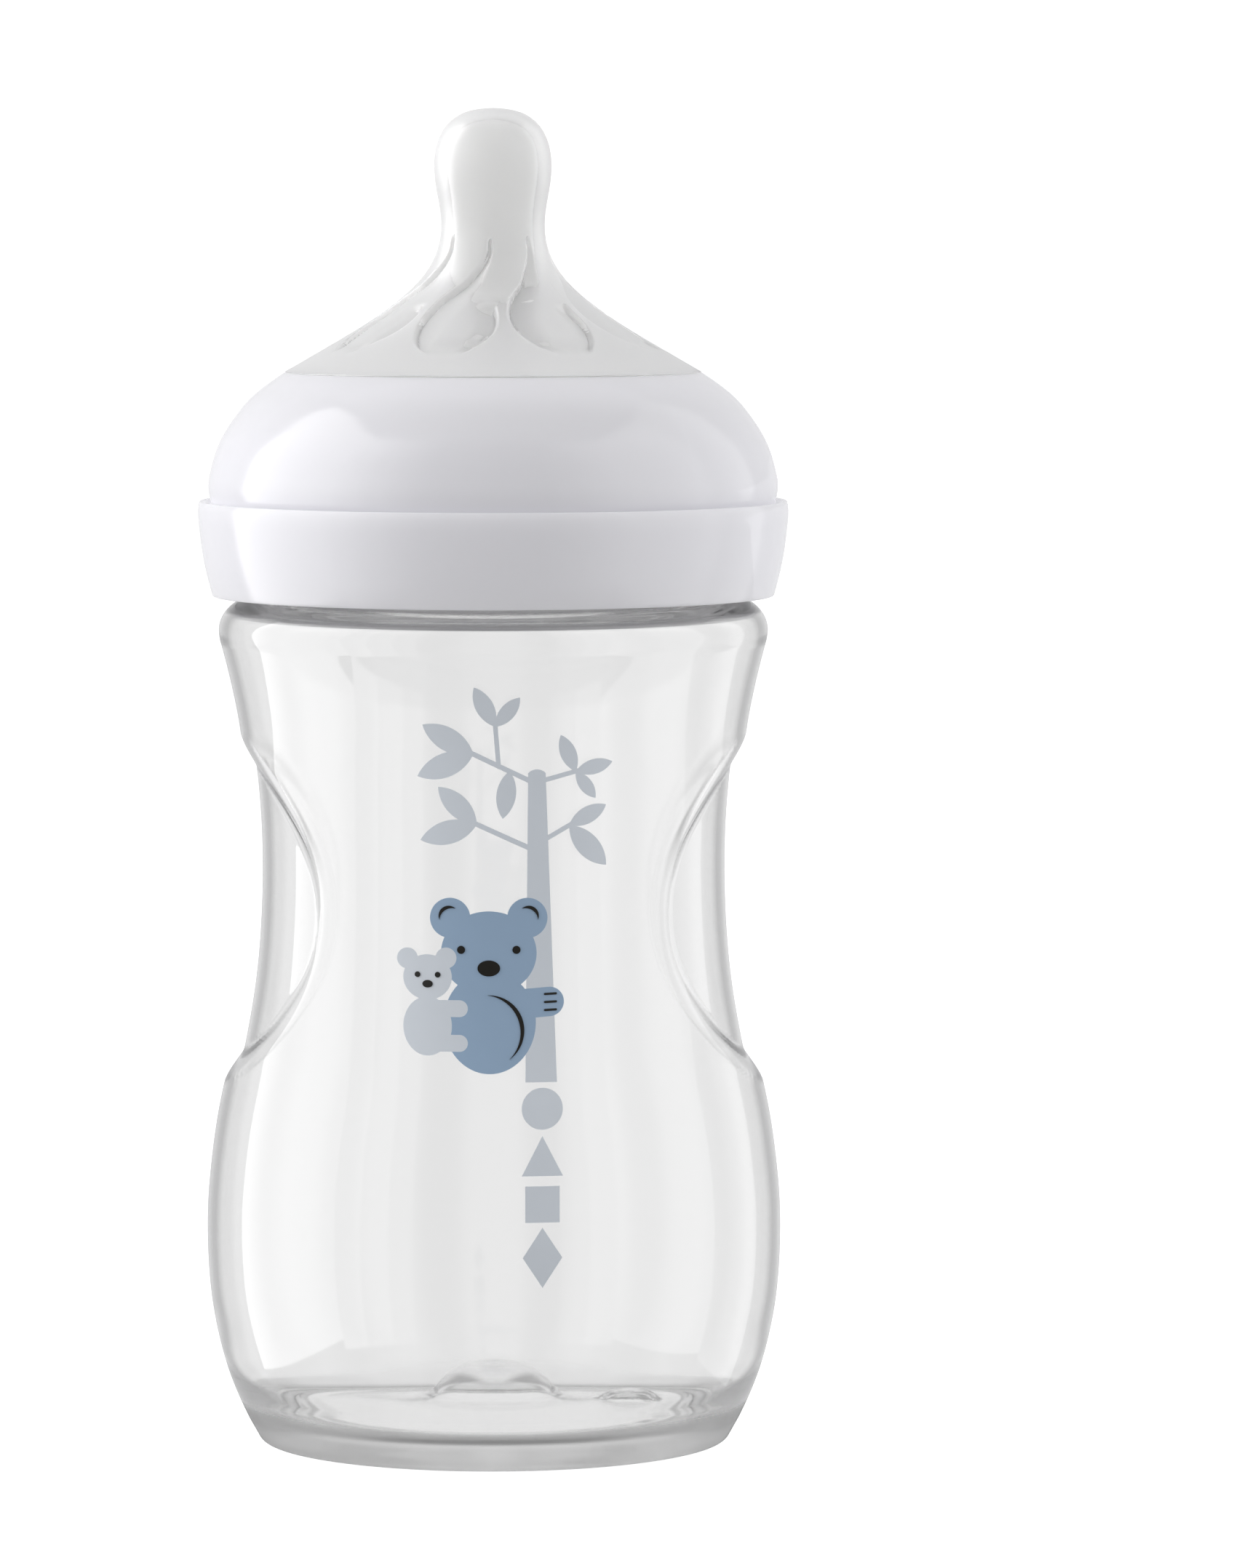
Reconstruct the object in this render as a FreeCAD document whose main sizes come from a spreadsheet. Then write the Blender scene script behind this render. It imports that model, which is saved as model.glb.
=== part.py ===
"""Wide-neck baby bottle: waisted bottle, screw ring and teat, with a printed picture.

Millimetres. The bottle stands on z = 0 with its axis on the Z axis and its print facing -Y.
The ring is shown screwed down, clamping the teat's flange on the neck's rim.
"""
import FreeCAD, Part
import math
import os
import re
import Sketcher

FRONT_PLANE = "XZ_Plane"
SIDE_PLANE = "YZ_Plane"
GROUND_PLANE = "XY_Plane"
FULL_TURN = 360

doc = FreeCAD.newDocument("BabyBottle")
sizes = doc.addObject("Spreadsheet::Sheet", "Sizes")

DIMENSIONS = [
    ("standing_radius", 27.4, "middle of the ring that the bottle stands on"),
    ("bottle_wall", 1.1, "wall of the bottle's body"),
    ("grip_offset", 5.0, "how far past the axis each grip's own axis lies"),
    ("grip_half_width", 22.4, "half the width of a grip's oval, seen from the side"),
    ("grip_half_height", 20.4, "half the height of a grip's oval"),
    ("grip_middle", 65.6, "height of a grip's middle"),
    ("grip_bevel", 0.5, "width of the bevel around each grip"),
    ("neck_radius", 28.2, "outside of the neck between its threads"),
    ("mouth_radius", 25.9, "bore of the neck"),
    ("rim_height", 125.85, "top of the neck's rim"),
    ("thread_crest", 29.9, "outside of the neck's thread"),
    ("thread_lead", 8.0, "rise of either thread in one turn"),
    ("neck_thread_rise", 6.4, "rise of each neck ridge from end to end"),
    ("ring_thread_rise", 4.8, "rise of each ring ridge from end to end"),
    ("ring_bore", 30.4, "inside of the ring between its threads"),
    ("ring_thread_crest", 28.6, "inside of the ring's thread"),
    ("ring_hole", 24.75, "hole that the teat stands in"),
    ("ring_shelf", 127.8, "underside of the ring's lip"),
    ("ring_top", 131.05, "top of the ring's lip"),
    ("collar_radius", 36.0, "outside of the collar's raised lip"),
    ("collar_foot", 103.8, "lower edge of the collar"),
    ("teat_groove", 24.7, "teat inside the ring's hole"),
    ("flange_radius", 27.8, "outside of the teat's flange"),
    ("flange_top", 127.75, "upper face of the teat's flange"),
    ("flange_foot", 125.9, "lower face of the teat's flange"),
    ("teat_hole", 0.5, "feeding hole's diameter"),
    ("vent_hole", 1.2, "vent hole's diameter in the flange"),
    ("petal_depth", 0.35, "depth of each petal pressed into the teat"),
    ("petal_count", 8, "petals around the teat"),
    ("ink", 0.1, "thickness of one printed layer"),
]
for row, (alias, value, note) in enumerate(DIMENSIONS, start=1):
    sizes.set(f"A{row}", alias)
    sizes.set(f"B{row}", str(value))
    sizes.set(f"C{row}", note)
    sizes.setAlias(f"B{row}", alias)
doc.recompute()


def amount(value):
    """A plain number, or the value of an expression on the sheet's names."""
    return float(sizes.evalExpression(value)) if isinstance(value, str) else float(value)


def bound(expression):
    """The same expression with each name looked up on the sheet from another object."""
    return re.sub(r"[a-z_]{2,}", lambda name: "Sizes." + name.group(), expression)


def point(place):
    """A sketch point from two amounts."""
    return FreeCAD.Vector(amount(place[0]), amount(place[1]), 0)


def add_sketch(body, name, role):
    """An empty sketch on one of the body's own planes."""
    sketch = body.newObject("Sketcher::SketchObject", name)
    plane = next(f for f in body.Origin.OriginFeatures if f.Role == role)
    sketch.AttachmentSupport = [(plane, "")]
    sketch.MapMode = "FlatFace"
    return sketch


def bind_point(sketch, edge, end, place):
    """Tie one end of an edge to the sheet wherever its place is given by name."""
    for kind, value in zip(("DistanceX", "DistanceY"), place):
        if isinstance(value, str):
            constraint = Sketcher.Constraint(kind, -1, 1, edge, end, amount(value))
            number = sketch.addConstraint(constraint)
            sketch.setExpression(f"Constraints[{number}]", bound(value))


def make_edge(stretch):
    """A line through two points, an arc through three or a smooth curve through more."""
    places = [point(place) for place in stretch]
    if len(places) == 2:
        return Part.LineSegment(*places)
    if len(places) == 3:
        return Part.Arc(*places)
    curve = Part.BSplineCurve()
    curve.interpolate(places)
    return curve


def draw_loop(sketch, stretches):
    """A closed outline of lines, arcs and curves, each stretch starting where the last ended."""
    numbers = [sketch.addGeometry(make_edge(stretch), False) for stretch in stretches]
    ends = []
    for number, stretch in zip(numbers, stretches):
        forward = sketch.getPoint(number, 1).isEqual(point(stretch[0]), 1e-4)
        ends.append((1, 2) if forward else (2, 1))
    for index, number in enumerate(numbers):
        after = (index + 1) % len(numbers)
        joint = ("Coincident", number, ends[index][1], numbers[after], ends[after][0])
        sketch.addConstraint(Sketcher.Constraint(*joint))
        bind_point(sketch, number, ends[index][0], stretches[index][0])


def chain(*places):
    """Straight stretches through the places in turn."""
    return [(start, end) for start, end in zip(places, places[1:])]


def add_revolved(body, kind, name, stretches):
    """A Revolution or Groove of a closed outline around the sketch's vertical axis."""
    sketch = add_sketch(body, name + "_outline", FRONT_PLANE)
    draw_loop(sketch, stretches)
    feature = body.newObject("PartDesign::" + kind, name)
    feature.Profile = sketch
    feature.ReferenceAxis = (sketch, ["V_Axis"])
    feature.Angle = FULL_TURN
    sketch.Visibility = False
    return feature


def add_turned_body(name, stretches):
    """A body that is one Revolution."""
    body = doc.addObject("PartDesign::Body", name)
    add_revolved(body, "Revolution", name + "_turned", stretches)
    return body


def add_thread(body, name, outline, rise, start_angle):
    """A helical ridge added to a body, starting at an angle around the axis."""
    sketch = add_sketch(body, name + "_outline", FRONT_PLANE)
    draw_loop(sketch, outline)
    turn = FreeCAD.Rotation(FreeCAD.Vector(0, 1, 0), start_angle)
    sketch.AttachmentOffset = FreeCAD.Placement(FreeCAD.Vector(), turn)
    ridge = body.newObject("PartDesign::AdditiveHelix", name)
    ridge.Profile = sketch
    ridge.ReferenceAxis = (sketch, ["V_Axis"])
    ridge.Mode = 0
    ridge.Angle = 0
    ridge.setExpression("Pitch", "Sizes.thread_lead")
    ridge.setExpression("Height", bound(rise))
    sketch.Visibility = False
    return ridge


def boolean(kind, name, base, tool):
    """A Part::Cut or Part::Common of two objects."""
    result = doc.addObject("Part::" + kind, name)
    result.Base = base
    result.Tool = tool
    base.Visibility = False
    tool.Visibility = False
    return result


def circle(sketch, x, z, radius):
    """A full circle."""
    sketch.addGeometry(Part.Circle(point((x, z)), FreeCAD.Vector(0, 0, 1), radius), False)


def oval(sketch, x, z, half_width, half_height):
    """An upright or lying ellipse, or a circle."""
    if half_width == half_height:
        circle(sketch, x, z, half_width)
        return
    tall = half_height > half_width
    far = (x, z + half_height) if tall else (x + half_width, z)
    side = (x + half_width, z) if tall else (x, z + half_height)
    sketch.addGeometry(Part.Ellipse(point(far), point(side), point((x, z))), False)


# ---------------------------------------------------------------- bottle

BODY_CURVE = [
    (30.22, 2.9), (31.57, 5.8), (32.68, 8.7), (33.86, 13.0), (34.65, 17.35), (35.06, 21.7),
    (35.19, 26.0), (35.07, 30.3), (34.67, 34.6), (34.08, 39.0), (33.26, 43.3), (32.2, 48.0),
    (31.2, 54.0), (30.5, 62.0), (30.35, 70.0), (30.5, 79.0), (30.94, 87.0), (31.54, 90.55),
    (32.15, 93.4), (32.86, 96.3), (33.42, 98.4),
]
SHOULDER_CURVE = [
    (33.42, 98.4), (33.56, 99.8), (33.16, 101.25), (31.94, 102.7), (30.3, 103.7), (29.0, 104.7),
    (28.35, 106.3), (28.2, 108.0),
]
ROOM_SHOULDER_CURVE = [
    (32.32, 98.4), (32.35, 99.9), (31.8, 101.2), (30.6, 102.0), (28.6, 102.9), (26.8, 104.2),
    (26.0, 106.5), (25.9, 108.0),
]
UNDER_CURVE = [
    (0, 8.15), (3.9, 7.85), (5.6, 6.9), (7.4, 4.4), (9.6, 3.6), (13.5, 3.05), (17.5, 2.5),
    (21.5, 2.0), (24.4, 1.45), (25.9, 0.8), (26.9, 0),
]
FLOOR_CURVE = [
    (0, 9.35), (4.3, 9.1), (6.3, 8.1), (8.3, 5.7), (10.6, 4.9), (14.5, 4.3), (18.5, 3.75),
    (22.5, 3.3), (26.0, 3.25), (28.4, 3.9), (29.6, 5.1),
]
THREAD_FOOT = 111.4
FLOOR_EDGE = (28.9, 0.7)
NUB_PLACE = (16.4, -3.0)
NUB_HEIGHT = 6.4


def body_outline(grow):
    """Half of the bottle's outside, from its standing ring to the neck, grown sideways."""
    shifted = [(radius + grow, height) for radius, height in BODY_CURVE]
    shoulder = [(radius + grow, height) for radius, height in SHOULDER_CURVE]
    corner = (FLOOR_EDGE[0] + grow, FLOOR_EDGE[1])
    return [(corner, shifted[0]), shifted, shoulder]


def outside_stretches():
    """The closed outline of the solid bottle before its cavity is taken out."""
    lower, middle, upper = body_outline(0)
    rim = chain(
        upper[-1], ("neck_radius", "rim_height - 1.0"), ("neck_radius - 0.4", "rim_height - 0.3"),
        ("neck_radius - 1.0", "rim_height"), (0, "rim_height"), UNDER_CURVE[0],
    )
    standing = [
        (UNDER_CURVE[-1], ("standing_radius + 0.4", 0)),
        (("standing_radius + 0.4", 0), (28.45, 0.2), FLOOR_EDGE),
    ]
    return [*rim, UNDER_CURVE, *standing, lower, middle, upper]


def cavity_stretches():
    """The closed outline of the room inside: the same curves moved in by the wall."""
    wall = amount("bottle_wall")
    side = [(radius - wall, height) for radius, height in BODY_CURVE if height > 8]
    side[-1] = ROOM_SHOULDER_CURVE[0]
    neck = chain(ROOM_SHOULDER_CURVE[-1], ("mouth_radius", 130.0), (0, 130.0), FLOOR_CURVE[0])
    corner = [FLOOR_CURVE[-1], (30.45, 6.6), side[0]]
    return [FLOOR_CURVE, corner, side, ROOM_SHOULDER_CURVE, *neck]


GRIP_CURVE = [
    (31.0, 88.2), (30.2, 86.3), (29.35, 84.0), (28.85, 81.2), (28.5, 77.0), (28.3, 70.5),
    (28.53, 63.4), (29.22, 56.2), (30.1, 50.6), (31.1, 47.4), (32.25, 45.2), (33.6, 42.9),
]


def build_grip_cutter(name, side, inset):
    """What one grip takes away: an oval block less a drum around the grip's own axis."""
    body = doc.addObject("PartDesign::Body", name)
    oval_sketch = add_sketch(body, name + "_oval", SIDE_PLANE)
    half_width = amount("grip_half_width") + inset
    half_height = amount("grip_half_height") + inset
    oval(oval_sketch, 0, amount("grip_middle"), half_width, half_height)
    block = body.newObject("PartDesign::Pad", name + "_block")
    block.Profile = oval_sketch
    block.Length = 50
    block.Reversed = side < 0
    reach = amount("grip_offset") - inset
    curve = [(radius + reach, height) for radius, height in GRIP_CURVE]
    closing = chain(curve[-1], (0, curve[-1][1]), (0, curve[0][1]), curve[0])
    drum = add_revolved(body, "Groove", name + "_drum", [curve, *closing])
    sign = "-" if side > 0 else ""
    drum.Profile[0].setExpression(".AttachmentOffset.Base.x", sign + "Sizes.grip_offset")
    return body


def add_grips(body, inset):
    """Both grips cut out of a turned body; the cut comes back as the finished feature."""
    cutters = [build_grip_cutter(f"{body.Name}_grip_{side + 2}", side, inset) for side in (-1, 1)]
    cut = body.newObject("PartDesign::Boolean", body.Name + "_grips")
    cut.Type = 1
    cut.setObjects(cutters)
    doc.recompute()
    return cut


def border_edges(shape):
    """Names of the edges where the grips break through the bottle's side."""
    reach = min(radius for radius, height in BODY_CURVE if height > 50) - 0.2
    low = amount("grip_middle - grip_half_height") - 3
    high = amount("grip_middle + grip_half_height") + 3
    names = []
    for number, edge in enumerate(shape.Edges, start=1):
        box = edge.BoundBox
        at_grip = low < box.ZMin and box.ZMax < high and box.YLength > 10
        if at_grip and min(math.hypot(p.x, p.y) for p in edge.discretize(9)) > reach:
            names.append(f"Edge{number}")
    return names


def add_bevel(body, cut):
    """A small bevel around both grips."""
    bevel = body.newObject("PartDesign::Chamfer", body.Name + "_bevel")
    bevel.Base = (cut, border_edges(cut.Shape))
    bevel.setExpression("Size", "Sizes.grip_bevel")


def add_nub(body, name, radius, height):
    """A small round nub of the base, taken out of a body around its own axis."""
    top = [(0, height), (0.45 * radius, height - 0.1), (0.8 * radius, height - 0.9), (radius, 2.0)]
    groove = add_revolved(body, "Groove", name, [top, *chain(top[-1], (0, 2.0), top[0])])
    place = FreeCAD.Vector(NUB_PLACE[0], 0, -NUB_PLACE[1])
    groove.Profile[0].AttachmentOffset = FreeCAD.Placement(place, FreeCAD.Rotation())


def build_bottle():
    """The bottle: a waisted shell with two grips and a two-start thread."""
    outside = add_turned_body("bottle_outside", outside_stretches())
    add_bevel(outside, add_grips(outside, 0))
    add_nub(outside, "nub_hollow", 3.1, NUB_HEIGHT - 1.1)
    low = THREAD_FOOT
    ridge = chain(
        ("neck_radius - 0.3", low - 1.35), ("thread_crest", low - 0.5), ("thread_crest", low + 0.5),
        ("neck_radius - 0.3", low + 1.35), ("neck_radius - 0.3", low - 1.35),
    )
    for start, angle in enumerate((0, 180)):
        add_thread(outside, f"neck_thread_{start + 1}", ridge, "neck_thread_rise", angle)
    room = add_turned_body("bottle_room", cavity_stretches())
    add_grips(room, amount("bottle_wall"))
    add_nub(room, "nub", 4.2, NUB_HEIGHT)
    return boolean("Cut", "bottle", outside, room)


# ---------------------------------------------------------------- screw ring

DOME_CURVE = [
    (25.4, "ring_top"), (27.38, 129.7), (29.87, 127.6), (31.64, 125.4), (32.98, 123.3),
    (33.9, 121.2), (34.5, 119.05), (34.77, 117.6), (34.6, 116.0), (34.3, 114.9),
]
COLLAR_CURVE = [
    ("collar_radius", 115.1), (36.06, 114.3), (35.97, 112.6), (35.64, 109.8), (35.12, 106.95),
    (34.4, "collar_foot + 0.3"),
]


def build_ring():
    """The screw ring: dome, raised collar and internal two-start thread in one moulding."""
    outline = [((("ring_hole"), "ring_top - 0.3"), ("ring_hole + 0.3", "ring_top"))]
    outline += [(("ring_hole + 0.3", "ring_top"), DOME_CURVE[0]), DOME_CURVE]
    outline += chain(
        DOME_CURVE[-1], (35.0, 114.7), (35.25, 115.1), ("collar_radius - 0.35", 115.4),
        COLLAR_CURVE[0],
    )
    outline += [COLLAR_CURVE]
    outline += chain(
        COLLAR_CURVE[-1], (34.1, "collar_foot"), (32.9, "collar_foot"), (32.6, "collar_foot + 0.4"),
        ("ring_bore", 110.0), ("ring_bore", 124.0), (29.3, 126.2), (27.95, "ring_shelf"),
        ("ring_hole", "ring_shelf"), ("ring_hole", "ring_top - 0.3"),
    )
    ring = add_turned_body("screw_ring", outline)
    low = THREAD_FOOT - 1.78 + amount("thread_lead") / 4
    ridge = chain(
        ("ring_bore + 0.3", low - 1.2), ("ring_bore + 0.3", low + 1.2),
        ("ring_thread_crest", low + 0.4), ("ring_thread_crest", low - 0.4),
        ("ring_bore + 0.3", low - 1.2),
    )
    for start, angle in enumerate((90, 270)):
        add_thread(ring, f"ring_thread_{start + 1}", ridge, "ring_thread_rise", angle)
    return ring


# ---------------------------------------------------------------- teat

NIPPLE_CURVE = [
    (0, 163.2), (2.21, 162.99), (4.22, 162.28), (5.81, 160.87), (6.81, 158.75), (7.15, 156.3),
    (6.96, 153.8), (6.48, 151.0), (6.31, 148.85), (6.75, 146.0), (8.17, 143.2), (10.9, 140.35),
    (14.7, 137.5), (20.43, 134.0), (25.4, 131.12),
]
INNER_CURVE = [
    (23.0, "flange_foot"), (22.9, 130.6), (19.3, 132.9), (13.7, 136.3), (9.6, 139.3),
    (6.6, 142.6), (5.1, 146.2), (4.7, 149.0), (4.9, 151.5), (5.4, 154.4), (5.5, 156.6),
    (5.0, 158.9), (3.3, 160.9), (0, 161.7),
]
PETAL_CURVE = [
    (9.3, -1.5), (13.4, -4.3), (17.4, -5.4), (20.6, -4.6), (22.4, -1.2), (21.9, 2.5),
    (19.6, 4.6), (16.4, 4.3), (13.4, 2.0), (9.3, -0.9),
]
PETAL_PHASE = -17.5 - 90


def build_teat():
    """The teat: nipple, flared foot with eight pressed petals, groove and clamped flange."""
    body = add_turned_body("teat_turned", [
        NIPPLE_CURVE,
        *chain(
            NIPPLE_CURVE[-1], ("teat_groove", "ring_top + 0.05"), ("teat_groove", "flange_top"),
            ("flange_radius", "flange_top"), ("flange_radius", "flange_foot"), INNER_CURVE[0],
        ),
        INNER_CURVE[:2],
        INNER_CURVE[1:],
        (INNER_CURVE[-1], NIPPLE_CURVE[0]),
    ])
    hole = doc.addObject("Part::Cylinder", "feeding_hole")
    hole.setExpression("Radius", "Sizes.teat_hole / 2")
    hole.Height = 6
    hole.Placement.Base = FreeCAD.Vector(0, 0, 159)
    vent = doc.addObject("Part::Cylinder", "vent_hole")
    vent.setExpression("Radius", "Sizes.vent_hole / 2")
    vent.Height = 12
    vent.Placement = FreeCAD.Placement(
        FreeCAD.Vector(0, 20, 126.9), FreeCAD.Rotation(FreeCAD.Vector(1, 0, 0), -90)
    )
    pierced = boolean("Cut", "teat_pierced", boolean("Cut", "teat_fed", body, hole), vent)

    depth = amount("petal_depth")
    pressed = [(radius - 0.5 * depth, height - 0.85 * depth) for radius, height in NIPPLE_CURVE[10:]]
    raised = [(radius + 1.0, height + 1.7) for radius, height in NIPPLE_CURVE[10:]]
    skin = add_turned_body("petal_skin", [
        pressed, (pressed[-1], raised[-1]), list(reversed(raised)), (raised[0], pressed[0]),
    ])
    prisms = doc.addObject("PartDesign::Body", "petal_prisms")
    sketch = add_sketch(prisms, "petal_outline", GROUND_PLANE)
    draw_loop(sketch, [PETAL_CURVE, (PETAL_CURVE[-1], PETAL_CURVE[0])])
    turn = FreeCAD.Rotation(FreeCAD.Vector(0, 0, 1), PETAL_PHASE)
    sketch.AttachmentOffset = FreeCAD.Placement(FreeCAD.Vector(0, 0, 125), turn)
    pad = prisms.newObject("PartDesign::Pad", "petal_prism")
    pad.Profile = sketch
    pad.Length = 30
    pattern = prisms.newObject("PartDesign::PolarPattern", "petal_pattern")
    pattern.Originals = [pad]
    pattern.Axis = (sketch, ["N_Axis"])
    pattern.Angle = FULL_TURN
    pattern.setExpression("Occurrences", "Sizes.petal_count")
    prisms.Tip = pattern
    petals = boolean("Common", "petals", skin, prisms)
    return boolean("Cut", "teat", pierced, petals)


# ---------------------------------------------------------------- printed picture

TRUNK_FOOT = (3.75, 7.5, 47.4)
TRUNK_TOP = (4.1, 6.2, 84.2)
TWIGS = [
    ((4.9, 83.0), (-2.6, 86.6), 0.30),
    ((0.6, 85.0), (0.2, 90.0), 0.28),
    ((5.5, 83.2), (10.0, 84.4), 0.28),
    ((4.8, 75.0), (-2.2, 78.2), 0.30),
    ((5.5, 75.9), (9.2, 78.0), 0.28),
]
LEAVES = [
    ((-2.4, 86.5), 150, 7.0), ((-2.4, 86.5), 202, 7.2), ((0.2, 89.8), 118, 5.4),
    ((0.2, 89.8), 50, 4.6), ((1.9, 84.5), 262, 5.8), ((9.8, 84.3), 112, 4.8),
    ((9.8, 84.3), 14, 4.5), ((9.8, 84.3), 306, 4.0), ((-2.0, 78.1), 136, 6.4),
    ((-2.0, 78.1), 196, 7.0), ((9.0, 77.9), 28, 5.0), ((9.0, 77.9), 312, 6.6),
]
LEAF_FATNESS = 0.2
SYMBOL_X = 5.75


def sketch_on_print(body, name):
    """An empty sketch for a part of the picture, seen from the front."""
    return add_sketch(body, name, FRONT_PLANE)


def pad_forward(body, sketch):
    """Push a picture outline out through the front of the bottle."""
    pad = body.newObject("PartDesign::Pad", sketch.Name + "_pad")
    pad.Profile = sketch
    pad.Length = 45
    sketch.Visibility = False


def polygon(*places):
    """A closed outline with straight sides."""
    return chain(*places, places[0])


def bar(start, end, half_width):
    """A rounded bar from one place to another."""
    along = point(end).sub(point(start)).normalize()
    side = FreeCAD.Vector(-along.y, along.x, 0) * half_width
    tip = along * half_width
    a, b = point(start), point(end)
    return [
        tuple((p.x, p.y) for p in (a - side, b - side)),
        tuple((p.x, p.y) for p in (b - side, b + tip, b + side)),
        tuple((p.x, p.y) for p in (b + side, a + side)),
        tuple((p.x, p.y) for p in (a + side, a - tip, a - side)),
    ]


def leaf(root, angle, length):
    """A leaf of two arcs, pointed at both ends."""
    along = FreeCAD.Vector(math.cos(math.radians(angle)), math.sin(math.radians(angle)), 0)
    across = FreeCAD.Vector(-along.y, along.x, 0) * length * LEAF_FATNESS
    base = point(root)
    tip = base + along * length
    middle = base + along * length * 0.54
    return [
        tuple((p.x, p.y) for p in (base, middle - across, tip)),
        tuple((p.x, p.y) for p in (tip, middle + across, base)),
    ]


def crescent(centre, radius, first, last, width):
    """A curved stroke along a circle, pointed at both ends."""
    def on_circle(angle, grow):
        turn = math.radians(angle)
        reach = radius + grow
        return (centre[0] + reach * math.cos(turn), centre[1] + reach * math.sin(turn))

    middle = (first + last) / 2
    start, end = on_circle(first, 0), on_circle(last, 0)
    return [
        (start, on_circle(middle, width / 2), end),
        (end, on_circle(middle, -width / 2), start),
    ]


def grown_bottle(name, layers):
    """The bottle's waisted outside, one or more ink layers larger."""
    grow = layers * amount("ink")
    curve = body_outline(grow)[1]
    closing = chain(curve[-1], (0, curve[-1][1]), (0, curve[0][1]), curve[0])
    return add_turned_body(name, [curve, *closing])


def tree_outline():
    """Trunk, twigs and leaves of a plain sapling, with four plain symbols below it."""
    body = doc.addObject("PartDesign::Body", "tree_prism")
    trunk = sketch_on_print(body, "trunk")
    left, right, foot = TRUNK_FOOT
    top_left, top_right, top = TRUNK_TOP
    crown = ((top_right, top), ((top_left + top_right) / 2, top + 0.45), (top_left, top))
    draw_loop(trunk, [
        ((top_left, top), (left, foot)), ((left, foot), (right, foot)),
        ((right, foot), (top_right, top)), crown,
    ])
    pad_forward(body, trunk)
    for number, (start, end, half_width) in enumerate(TWIGS):
        twig = sketch_on_print(body, f"twig_{number + 1}")
        draw_loop(twig, bar(start, end, half_width))
        pad_forward(body, twig)
    for number, (root, angle, length) in enumerate(LEAVES):
        blade = sketch_on_print(body, f"leaf_{number + 1}")
        draw_loop(blade, leaf(root, angle, length))
        pad_forward(body, blade)
    return body


def symbol_outline():
    """Four plain symbols in a column under the trunk."""
    body = doc.addObject("PartDesign::Body", "symbol_prism")
    symbols = sketch_on_print(body, "symbols")
    circle(symbols, SYMBOL_X, 44.3, 2.45)
    draw_loop(symbols, polygon((3.3, 36.4), (8.2, 36.4), (SYMBOL_X, 41.1)))
    draw_loop(symbols, polygon((3.7, 30.9), (7.8, 30.9), (7.8, 35.2), (3.7, 35.2)))
    draw_loop(symbols, polygon((SYMBOL_X, 23.1), (8.1, 26.7), (SYMBOL_X, 30.3), (3.4, 26.7)))
    pad_forward(body, symbols)
    return body


def bear_outline():
    """A plain sitting bear: round head, two round ears, round body and one arm."""
    body = doc.addObject("PartDesign::Body", "bear_prism")
    rounds = [
        ("bear_body", -0.5, 54.5, 5.5, 6.1), ("bear_head", -0.6, 62.7, 5.7, 5.0),
        ("bear_left_ear", -5.2, 66.9, 2.4, 2.4), ("bear_right_ear", 4.0, 66.9, 2.4, 2.4),
    ]
    for name, x, z, half_width, half_height in rounds:
        sketch = sketch_on_print(body, name)
        oval(sketch, x, z, half_width, half_height)
        pad_forward(body, sketch)
    arm = sketch_on_print(body, "bear_arm")
    draw_loop(arm, bar((2.4, 56.6), (6.6, 56.9), 1.75))
    pad_forward(body, arm)
    return body


def cub_outline():
    """A plain cub holding on to the bear's side."""
    body = doc.addObject("PartDesign::Body", "cub_prism")
    rounds = [
        ("cub_body", -7.9, 54.0, 2.9, 3.5), ("cub_head", -7.9, 59.8, 2.9, 2.7),
        ("cub_left_ear", -10.3, 62.0, 1.25, 1.25), ("cub_right_ear", -5.7, 62.1, 1.25, 1.25),
    ]
    for name, x, z, half_width, half_height in rounds:
        sketch = sketch_on_print(body, name)
        oval(sketch, x, z, half_width, half_height)
        pad_forward(body, sketch)
    for name, height in (("cub_arm", 56.1), ("cub_leg", 52.0)):
        limb = sketch_on_print(body, name)
        draw_loop(limb, bar((-7.5, height), (-4.1, height), 1.0))
        pad_forward(body, limb)
    return body


def detail_outline():
    """Eyes, noses, ear lines, belly line and claws."""
    body = doc.addObject("PartDesign::Body", "detail_prism")
    marks = sketch_on_print(body, "marks")
    for x, z, size in ((-3.9, 63.1, 0.48), (2.7, 63.1, 0.48), (-9.1, 60.1, 0.34), (-6.7, 60.1, 0.34)):
        circle(marks, x, z, size)
    oval(marks, -0.6, 60.9, 1.35, 0.95)
    oval(marks, -7.9, 59.0, 0.62, 0.45)
    draw_loop(marks, crescent((-5.2, 66.9), 1.3, 60, 190, 0.42))
    draw_loop(marks, crescent((4.0, 66.9), 1.3, -10, 120, 0.42))
    draw_loop(marks, crescent((-0.9, 53.4), 4.3, -50, 88, 0.5))
    for height in (55.9, 56.85, 57.8):
        draw_loop(marks, bar((6.1, height), (7.4, height + 0.05), 0.13))
    pad_forward(body, marks)
    return body


def as_film(name, prism, outside, inside, hidden_by):
    """The skin that lies under a picture outline, less what another colour covers."""
    film = boolean("Common", name + "_slab", outside, prism)
    steps = [inside, *hidden_by]
    for number, tool in enumerate(steps):
        last = number == len(steps) - 1
        film = boolean("Cut", name if last else f"{name}_cut_{number + 1}", film, tool)
    return film


def build_print(outside):
    """The picture on the bottle: one film for each colour, black on top of the others."""
    first_layer = grown_bottle("first_layer", 1)
    second_layer = grown_bottle("second_layer", 2)
    bear, cub = bear_outline(), cub_outline()
    tree = as_film("print_tree", tree_outline(), first_layer, outside, [bear, cub])
    symbols = as_film("print_symbols", symbol_outline(), first_layer, outside, [])
    adult = as_film("print_bear", bear, first_layer, outside, [cub])
    young = as_film("print_cub", cub, first_layer, outside, [])
    details = as_film("print_details", detail_outline(), second_layer, first_layer, [])
    return [tree, symbols, adult, young, details]


bottle = build_bottle()
ring = build_ring()
teat = build_teat()
films = build_print(doc.getObject("bottle_outside"))
doc.recompute()

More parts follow.
